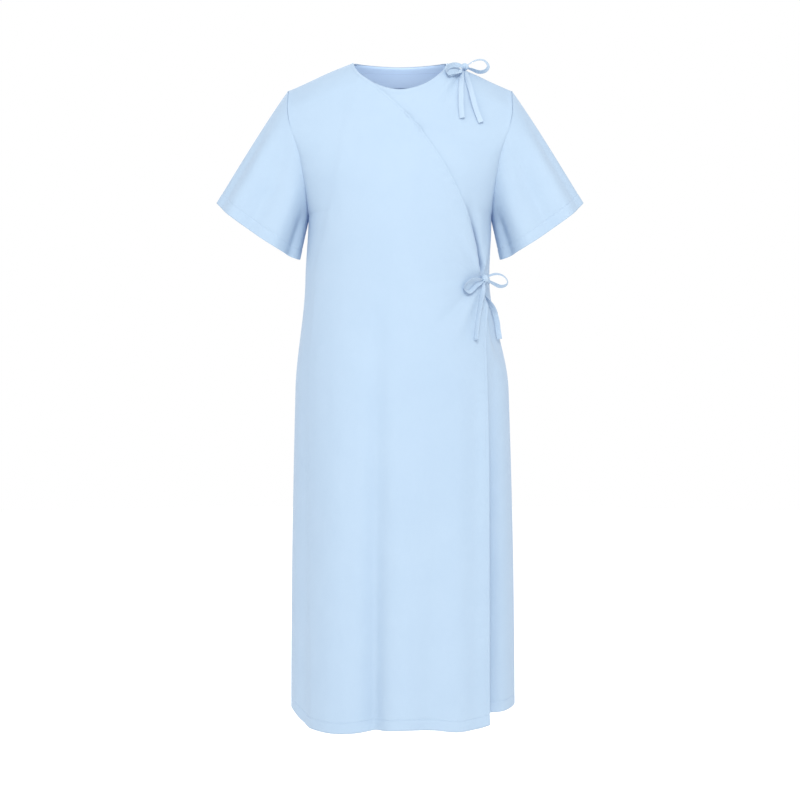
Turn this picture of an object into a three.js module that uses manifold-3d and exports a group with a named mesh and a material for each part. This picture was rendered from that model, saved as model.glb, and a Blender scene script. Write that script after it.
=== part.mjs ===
// Patient gown: a wrap-front, short-sleeved ward gown with a tie bow at the left side of the neck and
// another at the left of the waist. Millimetres, +Z up, front towards -Y, +X at the wearer's left.
// The origin is the middle of the neck opening, level with the two neck points on the shoulders.
import * as THREE from 'three';
import { mergeVertices } from 'three/addons/utils/BufferGeometryUtils.js';
import Module from 'manifold-3d';

const wasm = await Module();
wasm.setup();

// Cloth and how its layers lie on each other.
const clothThickness = 1.2; // poplin with the body of its hems and seams
const layerGap = 0.5; // air between two layers worn over each other
const seamGap = 0.3; // between the edges of two sewn pieces
const sleeveSeamGap = 0.8; // the armhole's curve needs more room
const facingWidth = 32;

// The body of the gown. Drops are measured down from the shoulder seam.
const bodyLength = 1112;
const armholeDepth = 262;
const waistDrop = 374;
const hipDrop = 560;
const shoulderHalf = 191;
const chestHalf = 165;
const underarmHalf = 156;
const waistHalf = 157;
const hipHalf = 182;
const hemHalf = 191;
const waistPull = 7; // the waist bow draws that side in
const armholeHalfDepth = 66;
const shoulderSlope = 0.404; // fall of the shoulder seam per unit of width
const shoulderRoll = 55; // drop over which the cloth turns over the shoulder
const yokeFront = 58;
const yokeBack = 60;
const bustFront = 120;
const waistFront = 116;
const hipFront = 134;
const hemFront = 150;
const bladeBack = 104;
const waistBack = 98;
const hipBack = 126;
const hemBack = 150;

// The neck opening.
const neckHalf = 80;
const neckRound = 30; // how far the crown of the shoulder line is rounded across the neck
const frontNeckDrop = 60;
const backNeckRise = 2;

// The front opening: the over panel crosses from the right of the neck to the left of the waist.
const crossX = -42; // where its neck edge meets the under panel's
const crossDrop = 51;
const overEdgeX = 142; // its free edge below the waist bow
const sidePartLift = 14; // the under panel's hem hangs this much higher
const underEdgeX = -140; // the hidden free edge of the under panel
const foldTopX = 141; // fold line of the free corner of the over panel
const foldTopDrop = 500;
const foldHemX = 50;

// Sleeves.
const sleeveFall = 187; // from the shoulder tip down to the sleeve's tip
const sleeveRoom = 9; // between the body's side and the low inner end of the opening
const sleeveOpening = 172;
const sleeveOpeningLean = 0.586; // radians from the horizontal, inner end low
const sleeveHalfDepth = 58;

// Ties.
const ribbonWidth = 9;
const ribbonThickness = 1;
const knotRadius = 6;
const tieRest = 0.6; // air between a tie and the cloth it lies on

const paleBlue = 0xc6dcf6;
const cloth = (name, tint) => new THREE.MeshStandardMaterial({ name, color: tint, roughness: 0.9, metalness: 0 });
const panelCloth = cloth('gown_poplin', paleBlue);
const facingCloth = cloth('facing_poplin', 0xb9d0ee);
const tieCloth = cloth('tie_ribbon', 0xcfe2f8);

const gown = new THREE.Group();
function addPiece(name, geometry, material) {
  const mesh = new THREE.Mesh(geometry, material);
  mesh.name = name;
  gown.add(mesh);
  return mesh;
}

// A smooth curve through [position, value] knots, without overshoot.
function profile(knots) {
  const slopes = knots.map((knot, i) => {
    if (i === 0 || i === knots.length - 1) return 0;
    const before = (knot[1] - knots[i - 1][1]) / (knot[0] - knots[i - 1][0]);
    const after = (knots[i + 1][1] - knot[1]) / (knots[i + 1][0] - knot[0]);
    return before * after <= 0 ? 0 : (2 * before * after) / (before + after);
  });
  return (position) => {
    const last = knots.length - 1;
    if (position <= knots[0][0]) return knots[0][1];
    if (position >= knots[last][0]) return knots[last][1];
    const i = knots.findIndex((knot) => knot[0] > position) - 1;
    const span = knots[i + 1][0] - knots[i][0];
    const t = (position - knots[i][0]) / span;
    const rise = knots[i + 1][1] - knots[i][1];
    const ease = t * t * (3 - 2 * t);
    const enter = slopes[i] * span * t * (1 - t) * (1 - t);
    const leave = slopes[i + 1] * span * t * t * (1 - t);
    return knots[i][1] + rise * ease + enter - leave;
  };
}

const halfWidth = profile([
  [0, shoulderHalf],
  [armholeDepth * 0.17, shoulderHalf - 1],
  [armholeDepth * 0.65, chestHalf],
  [armholeDepth, underarmHalf],
  [waistDrop, waistHalf],
  [hipDrop, hipHalf],
  [bodyLength, hemHalf],
]);
const sideShift = profile([
  [armholeDepth, 0],
  [waistDrop, -waistPull],
  [hipDrop, 0],
]);
const bustDrop = armholeDepth * 0.82;
const frontGrowth = profile([
  [0, 0],
  [bustDrop, bustFront - yokeFront],
  [waistDrop, waistFront - yokeFront],
  [hipDrop, hipFront - yokeFront],
  [bodyLength, hemFront - yokeFront],
]);
const backGrowth = profile([
  [0, 0],
  [bustDrop, bladeBack - yokeBack],
  [waistDrop, waistBack - yokeBack],
  [hipDrop, hipBack - yokeBack],
  [bodyLength, hemBack - yokeBack],
]);

// A quarter ellipse: the cloth leaves the shoulder seam flat and turns down over it.
function rollOver(drop) {
  const rest = 1 - Math.min(drop / shoulderRoll, 1);
  return Math.sqrt(1 - rest * rest);
}
function frontDepth(drop) {
  return yokeFront * rollOver(drop) + frontGrowth(drop);
}
function backDepth(drop) {
  return yokeBack * rollOver(drop) + backGrowth(drop);
}
function armholeEdge(drop) {
  const along = Math.min(drop / armholeDepth, 1) * 2 - 1;
  return armholeHalfDepth * Math.sqrt(Math.max(1 - along * along, 0));
}
function smooth(t) {
  const inside = Math.min(Math.max(t, 0), 1);
  return inside * inside * (3 - 2 * inside);
}
function heightOf(x, drop) {
  const rise = shoulderSlope * (Math.hypot(neckHalf, neckRound) - Math.hypot(x, neckRound));
  return rise * (1 - smooth(drop / armholeDepth)) - drop;
}

// A point of the gown's surface. turn is 0 at the middle and a quarter circle at the side seams, and
// side is -1 on the front and 1 on the back.
function bodyPoint(turn, drop, side) {
  const x = sideShift(drop) + halfWidth(drop) * Math.sin(turn);
  const edge = armholeEdge(drop);
  const depth = side < 0 ? frontDepth(drop) : backDepth(drop);
  const y = side * (edge + (depth - edge) * Math.cos(turn));
  return new THREE.Vector3(x, y, heightOf(x, drop));
}

// The front surface's point at a given x and z.
function onFront(x, z, lift = 0) {
  let low = 0;
  let high = bodyLength * 1.05;
  for (let i = 0; i < 40; i += 1) {
    const middle = (low + high) / 2;
    if (heightOf(x, middle) > z) low = middle;
    else high = middle;
  }
  const drop = Math.max(low, 0.5);
  const sideways = (x - sideShift(drop)) / halfWidth(drop);
  const turn = Math.asin(Math.min(Math.max(sideways, -0.999), 0.999));
  const point = bodyPoint(turn, drop, -1);
  const step = 0.5;
  const across = bodyPoint(turn + 0.01, drop, -1).sub(bodyPoint(turn - 0.01, drop, -1));
  const down = bodyPoint(turn, drop + step, -1).sub(bodyPoint(turn, Math.max(drop - step, 0.1), -1));
  const normal = down.cross(across).normalize();
  if (normal.y > 0 && drop > shoulderRoll) normal.negate();
  if (normal.z < 0 && drop <= shoulderRoll) normal.negate();
  return { point: point.addScaledVector(normal, lift), normal };
}

// Closed geometry from points and triangles, with its faces pointing out.
function closedGeometry(points, triangles) {
  let volume = 0;
  for (const [a, b, c] of triangles) {
    volume += points[a].dot(points[b].clone().cross(points[c]));
  }
  const index = triangles.flatMap(([a, b, c]) => (volume < 0 ? [a, c, b] : [a, b, c]));
  const geometry = new THREE.BufferGeometry();
  geometry.setAttribute('position', new THREE.Float32BufferAttribute(points.flatMap((p) => p.toArray()), 3));
  geometry.setIndex(index);
  return geometry;
}

// A sheet with thickness. pointAt(i, j) gives the grid, and ring says that its columns close on
// themselves. inner and outer are the two faces' distances from the grid, along outward(i, j).
function sheetGeometry(rows, columns, pointAt, outward, inner, outer, ring = false) {
  const wide = ring ? columns : columns + 1;
  const points = [];
  for (const offset of [outer, inner]) {
    for (let i = 0; i <= rows; i += 1) {
      for (let j = 0; j < wide; j += 1) {
        points.push(pointAt(i, j).clone().addScaledVector(outward(i, j), offset));
      }
    }
  }
  const half = (rows + 1) * wide;
  const at = (i, j) => i * wide + (ring ? j % columns : j);
  const triangles = [];
  const quad = (a, b, c, d) => triangles.push([a, b, c], [a, c, d]);
  for (let i = 0; i < rows; i += 1) {
    for (let j = 0; j < columns; j += 1) {
      quad(at(i, j), at(i, j + 1), at(i + 1, j + 1), at(i + 1, j));
      quad(half + at(i, j), half + at(i + 1, j), half + at(i + 1, j + 1), half + at(i, j + 1));
    }
    if (!ring) {
      quad(at(i, 0), at(i + 1, 0), half + at(i + 1, 0), half + at(i, 0));
      quad(at(i, columns), half + at(i, columns), half + at(i + 1, columns), at(i + 1, columns));
    }
  }
  for (let j = 0; j < columns; j += 1) {
    quad(at(0, j), half + at(0, j), half + at(0, j + 1), at(0, j + 1));
    quad(at(rows, j), at(rows, j + 1), half + at(rows, j + 1), half + at(rows, j));
  }
  return closedGeometry(points, triangles);
}

// Rows are close together over the shoulder and further apart down the skirt.
const quarter = Math.PI / 2;
const rowDrops = [];
const rollRows = 5;
const seamRoll = seamGap / 2 / yokeFront; // the first row stops short of the shoulder seam
for (let i = 0; i <= rollRows; i += 1) {
  const roll = seamRoll + (quarter - seamRoll) * (i / rollRows);
  rowDrops.push(shoulderRoll * (1 - Math.cos(roll)));
}
// Then [to this drop, in so many rows]: close where the waist curves in and out.
const stretches = [
  [armholeDepth * 0.8, 3],
  [armholeDepth * 0.94, 2],
  [armholeDepth, 2],
  [waistDrop - 40, 2],
  [waistDrop + 106, 7],
  [hipDrop, 2],
  [bodyLength, 6],
];
for (const [end, count] of stretches) {
  const start = rowDrops[rowDrops.length - 1];
  for (let i = 1; i <= count; i += 1) rowDrops.push(start + ((end - start) * i) / count);
}
const bodyColumns = 20;

// One half of the body, front or back, at a given distance outside the gown's surface.
function bodyShell(side, inner, outer, reach) {
  const rows = rowDrops.length - 1;
  const turnAt = (j) => (j / bodyColumns - 0.5) * 2 * reach;
  const pointAt = (i, j) => bodyPoint(turnAt(j), rowDrops[i], side);
  const outward = (i, j) => {
    const turn = turnAt(j);
    const above = rowDrops[Math.max(i - 1, 0)];
    const below = rowDrops[Math.min(i + 1, rows)];
    const across = bodyPoint(turn + 0.01, rowDrops[i], side).sub(bodyPoint(turn - 0.01, rowDrops[i], side));
    const down = bodyPoint(turn, below, side).sub(bodyPoint(turn, above, side));
    const normal = across.cross(down).multiplyScalar(side);
    if (i === 0) normal.y = 0;
    return normal.normalize();
  };
  return sheetGeometry(rows, bodyColumns, pointAt, outward, inner, outer);
}

function toSolid(geometry) {
  const bare = geometry.clone();
  bare.deleteAttribute('normal');
  bare.deleteAttribute('uv');
  const merged = mergeVertices(bare, 1e-4);
  const positions = merged.attributes.position.array;
  return new wasm.Manifold(
    new wasm.Mesh({
      numProp: 3,
      vertProperties: Float32Array.from(positions),
      triVerts: Uint32Array.from(merged.index.array),
    }),
  );
}
function toGeometry(solid) {
  const mesh = solid.getMesh();
  const geometry = new THREE.BufferGeometry();
  geometry.setAttribute('position', new THREE.Float32BufferAttribute(mesh.vertProperties, 3));
  geometry.setIndex(Array.from(mesh.triVerts));
  return geometry;
}

// A cutter through the whole depth of the gown, from an outline in X and Z.
const cutReach = 3 * (hemFront + hemBack);
function cutter(outline) {
  const shape = new THREE.Shape(outline.map(([x, z]) => new THREE.Vector2(x, z)));
  const block = new THREE.ExtrudeGeometry(shape, { depth: cutReach, bevelEnabled: false, steps: 1 });
  block.rotateX(Math.PI / 2);
  block.translate(0, cutReach / 2, 0);
  return toSolid(block);
}

// Outlines. far lies beyond the gown on every side.
const far = bodyLength + 3 * shoulderHalf;
function neckCurve(centreHeight, fullness) {
  const points = [];
  const steps = 18;
  for (let i = 0; i <= steps; i += 1) {
    const x = -neckHalf + (2 * neckHalf * i) / steps;
    points.push([x, centreHeight * (1 - Math.abs(x / neckHalf) ** fullness) ** (1 / fullness)]);
  }
  return points;
}
const frontNeck = [...neckCurve(-frontNeckDrop, 1.75), [neckHalf, far], [-neckHalf, far]];
const backNeck = [...neckCurve(backNeckRise, 2), [neckHalf, far], [-neckHalf, far]];

// The over panel's edge: the neck, the long crossing line with its slight hollow, the free edge.
const crossing = new THREE.CatmullRomCurve3([
  new THREE.Vector3(crossX, 0, -crossDrop),
  new THREE.Vector3(-3, 0, -88),
  new THREE.Vector3(45, 0, -146),
  new THREE.Vector3(92, 0, -222),
  new THREE.Vector3(123, 0, -300),
  new THREE.Vector3(overEdgeX - 5, 0, -waistDrop),
]);
const crossingPoints = crossing.getPoints(12).map((p) => [p.x, p.z]);
const overOutline = [
  [-far, far],
  [-neckHalf, far],
  [-neckHalf, 0],
  ...crossingPoints,
  [overEdgeX, -waistDrop - 30],
  [overEdgeX, -far],
  [-far, -far],
];
const underOutline = [
  [far, far],
  [-neckHalf * 0.75, far],
  [-neckHalf * 0.75, -frontNeckDrop * 0.5],
  [underEdgeX, -waistDrop],
  [underEdgeX, -far],
  [far, -far],
];
const foldDirection = new THREE.Vector2(foldHemX - foldTopX, foldTopDrop - bodyLength).normalize();
const foldReach = 80;
const foldTop = [foldTopX - foldDirection.x * foldReach, -foldTopDrop - foldDirection.y * foldReach];
const foldHem = [foldHemX + foldDirection.x * foldReach, -bodyLength + foldDirection.y * foldReach];
function besideFold(gap, toRight) {
  const outer = toRight ? far : -far;
  const shift = toRight ? gap : -gap;
  return cutter([
    [foldTop[0] + shift, foldTop[1]],
    [foldHem[0] + shift, foldHem[1]],
    [outer, foldHem[1]],
    [outer, foldTop[1]],
  ]);
}
const belowFoldTop = cutter([
  [-far, -foldTopDrop - seamGap / 2],
  [far, -foldTopDrop - seamGap / 2],
  [far, -far],
  [-far, -far],
]);

const seamTurn = seamGap / 2 / armholeHalfDepth;
const overInner = clothThickness + layerGap;
const overOuter = overInner + clothThickness;

const backSolid = toSolid(bodyShell(1, 0, clothThickness, quarter - seamTurn)).subtract(cutter(backNeck));
const frontShell = toSolid(bodyShell(-1, 0, clothThickness, quarter - seamTurn));
const hemLine = cutter([
  [-far, far],
  [far, far],
  [far, -bodyLength + sidePartLift],
  [-far, -bodyLength + sidePartLift],
]);
const underSolid = frontShell.subtract(cutter(frontNeck)).intersect(cutter(underOutline)).intersect(hemLine);
const overShell = toSolid(bodyShell(-1, overInner, overOuter, quarter - seamTurn));
const overWhole = overShell.intersect(cutter(overOutline));
const flapRegion = besideFold(seamGap / 2, true).intersect(belowFoldTop);
const flapSolid = overWhole.intersect(flapRegion);
const overSolid = overWhole.subtract(besideFold(-seamGap / 2, true).intersect(cutter([
  [-far, -foldTopDrop + seamGap / 2],
  [far, -foldTopDrop + seamGap / 2],
  [far, -far],
  [-far, -far],
])));

addPiece('back_panel', toGeometry(backSolid), panelCloth);
addPiece('front_over_panel', toGeometry(overSolid), panelCloth);
addPiece('front_over_corner', toGeometry(flapSolid), panelCloth);
addPiece('front_under_panel', toGeometry(underSolid), panelCloth);

// Facings inside the neck, a strip that follows each neck edge.
const facingInner = -layerGap - clothThickness;
const facingOuter = -layerGap;
function belowCurve(curve, width) {
  const lower = curve.map(([x, z]) => [x * (1 + width / neckHalf), z - width]).reverse();
  return cutter([...curve, ...lower]);
}
const backStrip = belowCurve(neckCurve(backNeckRise, 2), facingWidth);
const backFacing = toSolid(bodyShell(1, facingInner, facingOuter, quarter - seamTurn));
addPiece('back_neck_facing', toGeometry(backFacing.intersect(backStrip)), facingCloth);
const frontStrip = belowCurve(neckCurve(-frontNeckDrop, 1.75), facingWidth);
const frontFacing = toSolid(bodyShell(-1, facingInner, facingOuter, quarter - seamTurn));
addPiece('under_panel_neck_facing', toGeometry(frontFacing.intersect(frontStrip).intersect(cutter(underOutline))), facingCloth);

// Sleeves run from the armhole to their opening, which leans in towards the body. Their first ring has
// the same drops as the body's rows, so that both follow the armhole in the same steps.
const sleeveRows = 6;
const armholeRows = rowDrops.findIndex((drop) => drop >= armholeDepth - 1e-6);
const ringDrops = [
  ...rowDrops.slice(0, armholeRows + 1).map((drop) => [drop, -1]),
  ...rowDrops.slice(1, armholeRows).reverse().map((drop) => [drop, 1]),
];
function sleeveGeometry(side, startGap) {
  const lean = new THREE.Vector3(Math.cos(sleeveOpeningLean), 0, Math.sin(sleeveOpeningLean));
  const lowDrop = sleeveFall - heightOf(shoulderHalf, 0) + sleeveOpening * lean.z;
  const lowX = halfWidth(lowDrop) - sideShift(lowDrop) + sleeveRoom;
  const middle = new THREE.Vector3(lowX, 0, -lowDrop).addScaledVector(lean, sleeveOpening / 2);
  const columns = ringDrops.length;
  const pointAt = (i, j) => {
    const [drop, face] = ringDrops[j % columns];
    const x = halfWidth(drop);
    const start = new THREE.Vector3(x + startGap, face * armholeEdge(drop), heightOf(x, drop));
    const down = 1 - (2 * drop) / armholeDepth;
    const end = middle.clone().addScaledVector(lean, (sleeveOpening / 2) * down);
    end.y = face * sleeveHalfDepth * Math.sqrt(Math.max(1 - down * down, 0));
    const point = start.lerp(end, i / sleeveRows);
    point.x *= side;
    return point;
  };
  const outward = (i, j) => {
    const down = pointAt(Math.min(i + 1, sleeveRows), j).sub(pointAt(Math.max(i - 1, 0), j));
    const around = pointAt(i, j + 1).sub(pointAt(i, (j + columns - 1) % columns));
    const normal = down.cross(around).multiplyScalar(side);
    if (i === 0) normal.x = 0;
    return normal.normalize();
  };
  return sheetGeometry(sleeveRows, columns, pointAt, outward, -clothThickness, 0, true);
}
addPiece('sleeve_left', sleeveGeometry(1, clothThickness + sleeveSeamGap), panelCloth);
addPiece('sleeve_right', sleeveGeometry(-1, overOuter + sleeveSeamGap), panelCloth);

// A flat ribbon along points, lying across the given directions.
function ribbonGeometry(points, acrosses, width = ribbonWidth, thickness = ribbonThickness) {
  const corners = [];
  points.forEach((point, i) => {
    const before = points[Math.max(i - 1, 0)];
    const after = points[Math.min(i + 1, points.length - 1)];
    const along = after.clone().sub(before).normalize();
    const across = acrosses[i].clone().addScaledVector(along, -acrosses[i].dot(along)).normalize();
    const out = along.clone().cross(across);
    for (const [w, t] of [[1, 1], [-1, 1], [-1, -1], [1, -1]]) {
      const corner = point.clone().addScaledVector(across, (w * width) / 2);
      corners.push(corner.addScaledVector(out, (t * thickness) / 2));
    }
  });
  const triangles = [];
  const quad = (a, b, c, d) => triangles.push([a, b, c], [a, c, d]);
  const last = (points.length - 1) * 4;
  for (let base = 0; base < last; base += 4) {
    for (let k = 0; k < 4; k += 1) {
      const next = (k + 1) % 4;
      quad(base + k, base + next, base + 4 + next, base + 4 + k);
    }
  }
  quad(3, 2, 1, 0);
  quad(last, last + 1, last + 2, last + 3);
  return closedGeometry(corners, triangles);
}

// A knot is a small rounded pillow of wound ribbon.
function knotGeometry(centre) {
  const knot = new THREE.SphereGeometry(knotRadius, 14, 9);
  knot.translate(centre.x, centre.y, centre.z);
  knot.deleteAttribute('normal');
  knot.deleteAttribute('uv');
  return mergeVertices(knot, 1e-4);
}

// A loop of ribbon as a drop-shaped ring in the plane of reach and rise, standing off the knot.
function loopGeometry(root, reach, rise, length, height) {
  const outline = (scale) => {
    const ring = [];
    const steps = 16;
    for (let i = 0; i < steps; i += 1) {
      const angle = (i / steps) * 2 * Math.PI;
      const narrow = 0.28 + 0.72 * ((1 - Math.cos(angle)) / 2) ** 0.7;
      const along = (length / 2) * (1 - Math.cos(angle) * scale);
      ring.push(new THREE.Vector2(along, (height / 2) * scale * narrow * Math.sin(angle)));
    }
    return ring;
  };
  const shape = new THREE.Shape(outline(1));
  shape.holes.push(new THREE.Path(outline(1 - (4 * ribbonThickness) / length).reverse()));
  const depth = ribbonWidth * 0.6;
  const loop = new THREE.ExtrudeGeometry(shape, { depth, bevelEnabled: false, steps: 1 });
  loop.translate(0, 0, -depth / 2);
  const out = reach.clone().cross(rise);
  loop.applyMatrix4(new THREE.Matrix4().makeBasis(reach, rise, out));
  loop.translate(root.x, root.y, root.z);
  return loop;
}

// A bow: its knot on the cloth, two loops beside it, two tails that hang from under it.
function addBow(name, spot, lift, loops, tails) {
  const seat = onFront(spot[0], spot[1], lift + seamGap + knotRadius);
  addPiece(`${name}_knot`, knotGeometry(seat.point), tieCloth);
  for (const loop of loops) {
    const [along, out, up] = loop.reach;
    const tangent = new THREE.Vector3(-seat.normal.y, seat.normal.x, 0).normalize();
    const upward = seat.normal.clone().cross(tangent).normalize();
    const reach = tangent.clone().multiplyScalar(along);
    reach.addScaledVector(seat.normal, out).addScaledVector(upward, up).normalize();
    const rise = upward.clone().addScaledVector(reach, -upward.dot(reach)).normalize();
    const root = seat.point.clone().addScaledVector(reach, knotRadius + seamGap);
    addPiece(`${name}_${loop.label}`, loopGeometry(root, reach, rise, loop.length, loop.height), tieCloth);
  }
  for (const tail of tails) {
    const points = [];
    const acrosses = [];
    const steps = 7;
    for (let i = 0; i <= steps; i += 1) {
      const t = i / steps;
      const x = tail.from[0] + (tail.to[0] - tail.from[0]) * t;
      const z = tail.from[1] + (tail.to[1] - tail.from[1]) * t;
      const { point, normal } = onFront(x, z, tail.lift + tieRest + ribbonThickness);
      const flat = new THREE.Vector3(-normal.y, normal.x, 0).normalize();
      points.push(point);
      acrosses.push(flat);
    }
    addPiece(`${name}_${tail.label}`, ribbonGeometry(points, acrosses), tieCloth);
  }
  return seat.point;
}

addBow(
  'waist_bow',
  [135, -waistDrop],
  overOuter,
  [
    { label: 'loop_front', reach: [-1, 0.1, -0.25], length: 33, height: 25 },
    { label: 'loop_side', reach: [0.75, 0.6, -0.06], length: 38, height: 22 },
  ],
  [
    { label: 'tail_front', from: [134, -waistDrop - 9], to: [122, -waistDrop - 104], lift: overOuter },
    { label: 'tail_side', from: [146, -waistDrop - 9], to: [164, -waistDrop - 100], lift: clothThickness },
  ],
);
addBow(
  'neck_bow',
  [108, -16],
  clothThickness,
  [
    { label: 'loop_front', reach: [-1, 0.1, -0.12], length: 28, height: 24 },
    { label: 'loop_shoulder', reach: [0.9, 0.55, 0.1], length: 33, height: 20 },
  ],
  [
    { label: 'tail_front', from: [101, -27], to: [101, -104], lift: clothThickness },
    { label: 'tail_shoulder', from: [112, -28], to: [134, -111], lift: clothThickness },
  ],
);

// A point off the cloth, outside it or (negative lift) inside.
function besideCloth(side, turn, drop, lift) {
  const around = bodyPoint(turn + 0.01, drop, side).sub(bodyPoint(turn - 0.01, drop, side));
  const out = new THREE.Vector3(-around.y * side, around.x * side, 0).normalize();
  return bodyPoint(turn, drop, side).addScaledVector(out, lift);
}

// A strap laid on the cloth of one side, along steps of [turn, drop].
function addStrap(name, side, lift, route) {
  const points = route.map(([turn, drop]) => besideCloth(side, turn, drop, lift));
  const acrosses = route.map(() => new THREE.Vector3(0, 0, 1));
  addPiece(name, ribbonGeometry(points, acrosses), tieCloth);
}
const strapSteps = 6;
const route = (from, to, drop) => {
  const steps = [];
  for (let i = 0; i <= strapSteps; i += 1) steps.push([from + ((to - from) * i) / strapSteps, drop]);
  return steps;
};
const strapLift = tieRest + ribbonThickness / 2;
addStrap('waist_bow_seam_tie', -1, clothThickness + strapLift, route(1.53, 1.27, waistDrop));

// The inner tie holds the under panel's hidden edge to the right side seam.
const innerLift = -strapLift;
const innerKnotTurn = -1.27;
const besideKnot = 0.038;
const innerDepth = knotRadius + seamGap;
addStrap('inner_tie_panel_end', -1, innerLift, route(-1.02, innerKnotTurn + besideKnot, waistDrop));
addStrap('inner_tie_seam_end', -1, innerLift, route(innerKnotTurn - besideKnot, seamTurn - quarter, waistDrop));
addPiece('inner_tie_knot', knotGeometry(besideCloth(-1, innerKnotTurn, waistDrop, -innerDepth)), tieCloth);

export default gown;
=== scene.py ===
# Patient gown in pale blue poplin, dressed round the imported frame. Metres, +Z up, front towards -Y.
import math

import bmesh
import bpy
import numpy as np
from mathutils import Matrix, Vector


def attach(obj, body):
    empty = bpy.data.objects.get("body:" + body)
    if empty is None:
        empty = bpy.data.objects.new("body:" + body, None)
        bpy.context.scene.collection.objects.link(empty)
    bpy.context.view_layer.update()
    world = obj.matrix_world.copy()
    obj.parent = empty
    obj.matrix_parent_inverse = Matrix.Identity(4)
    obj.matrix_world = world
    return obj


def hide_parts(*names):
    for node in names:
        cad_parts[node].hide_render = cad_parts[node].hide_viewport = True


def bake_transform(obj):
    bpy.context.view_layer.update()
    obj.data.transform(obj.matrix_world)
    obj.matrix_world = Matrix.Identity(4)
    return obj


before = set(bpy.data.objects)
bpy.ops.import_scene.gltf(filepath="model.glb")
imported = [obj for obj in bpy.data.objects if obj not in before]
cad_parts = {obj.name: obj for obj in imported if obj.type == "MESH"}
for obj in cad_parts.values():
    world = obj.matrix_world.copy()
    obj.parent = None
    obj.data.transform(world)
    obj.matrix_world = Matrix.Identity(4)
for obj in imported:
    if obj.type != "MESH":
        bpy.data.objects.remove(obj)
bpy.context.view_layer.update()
print("frame loaded:", len(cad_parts), "CAD nodes")

# The camera comes first, level with the gown's middle.
cameraPlan = {"place": (0.0, -2.4, -0.578), "lens": 62.7, "sensor": 36.0}


def makeCamera(plan):
    data = bpy.data.cameras.new("portraitCamera")
    data.sensor_width = plan["sensor"]
    data.lens = plan["lens"]
    camera = bpy.data.objects.new("portraitCamera", data)
    camera.location = plan["place"]
    camera.rotation_euler = (math.pi / 2, 0, 0)
    bpy.context.scene.collection.objects.link(camera)
    bpy.context.scene.camera = camera


makeCamera(cameraPlan)

# The gown's cut, the same as the CAD pieces'.
cut = {
    "length": 1.112,
    "armhole": 0.262,
    "waist": 0.374,
    "hip": 0.560,
    "shoulderHalf": 0.191,
    "neckHalf": 0.080,
    "neckRound": 0.030,
    "slope": 0.404,
    "roll": 0.055,
    "yokeFront": 0.058,
    "yokeBack": 0.060,
    "armholeHalfDepth": 0.066,
    "frontNeckDrop": 0.060,
    "backNeckRise": 0.005,
    "tipDroop": 0.0035,
    "waistPull": 0.0045,
}


# A smooth curve through knots, without overshoot, for whole arrays.
def profile(*knots):
    at = np.array([k[0] for k in knots], float)
    values = np.array([k[1] for k in knots], float)
    rises = np.diff(values) / np.diff(at)
    slopes = np.zeros(len(at))
    for i in range(1, len(at) - 1):
        if rises[i - 1] * rises[i] > 0:
            slopes[i] = 2 * rises[i - 1] * rises[i] / (rises[i - 1] + rises[i])

    def curve(position):
        p = np.clip(np.asarray(position, float), at[0], at[-1])
        i = np.clip(np.searchsorted(at, p, side="right") - 1, 0, len(at) - 2)
        span = at[i + 1] - at[i]
        t = (p - at[i]) / span
        ease = t * t * (3 - 2 * t)
        enter = slopes[i] * span * t * (1 - t) ** 2
        leave = slopes[i + 1] * span * t * t * (1 - t)
        return values[i] + (values[i + 1] - values[i]) * ease + enter - leave

    return curve


def smoothStep(low, high, value):
    t = np.clip((np.asarray(value, float) - low) / (high - low), 0, 1)
    return t * t * (3 - 2 * t)


# A hump of height 1 at place, fading over wide.
def hump(value, place, wide):
    return np.exp(-(((value - place) / wide) ** 2))


def unit(vectors):
    return vectors / np.maximum(np.linalg.norm(vectors, axis=-1, keepdims=True), 1e-12)


halfWidth = profile(
    (0, cut["shoulderHalf"]), (0.0445, 0.190), (0.170, 0.165), (cut["armhole"], 0.156),
    (cut["waist"], 0.157), (cut["hip"], 0.182), (cut["length"], 0.191),
)
sideShift = profile(
    (cut["armhole"], 0), (cut["waist"], -cut["waistPull"]), (cut["hip"], 0.0035), (cut["length"], 0.005)
)
frontGrowth = profile(
    (0, 0), (0.215, 0.062), (cut["waist"], 0.058), (cut["hip"], 0.076), (cut["length"], 0.092)
)
backGrowth = profile(
    (0, 0), (0.215, 0.044), (cut["waist"], 0.038), (cut["hip"], 0.066), (cut["length"], 0.090)
)
armholeSwell = profile((0, 0), (0.050, 0.038), (0.130, 0.058), (0.235, 0.032), (0.380, 0))


def rollOver(drop):
    rest = 1 - np.clip(drop / cut["roll"], 0, 1)
    return np.sqrt(np.clip(1 - rest * rest, 0, 1))


def armholeEdge(drop):
    along = np.clip(drop / cut["armhole"], 0, 1) * 2 - 1
    return cut["armholeHalfDepth"] * np.sqrt(np.clip(1 - along * along, 0, 1))


def heightOf(x, drop):
    crown = np.hypot(cut["neckHalf"], cut["neckRound"]) - np.hypot(x, cut["neckRound"])
    droop = cut["tipDroop"] * smoothStep(0.110, 0.188, np.abs(x)) * (1 - smoothStep(0, 0.10, drop))
    return cut["slope"] * crown * (1 - smoothStep(0, cut["armhole"], drop)) - drop - droop


# How far to the wearer's left a place is.
def acrossAt(turn, drop):
    return sideShift(drop) + halfWidth(drop) * np.sin(turn)


# The plain body: turn is 0 at the middle of a side and a quarter circle at its seams.
def plainBody(turn, drop, side):
    edge = armholeEdge(drop)
    front = cut["yokeFront"] * rollOver(drop) + frontGrowth(drop)
    back = cut["yokeBack"] * rollOver(drop) + backGrowth(drop)
    depth = front if side < 0 else back
    aside = 1 - np.cos(turn)
    swell = armholeSwell(drop)
    y = side * (depth * np.cos(turn) + swell * aside + (edge - swell) * aside**3)
    x = acrossAt(turn, drop)
    return np.stack([x, y, heightOf(x, drop)], axis=-1)


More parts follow.
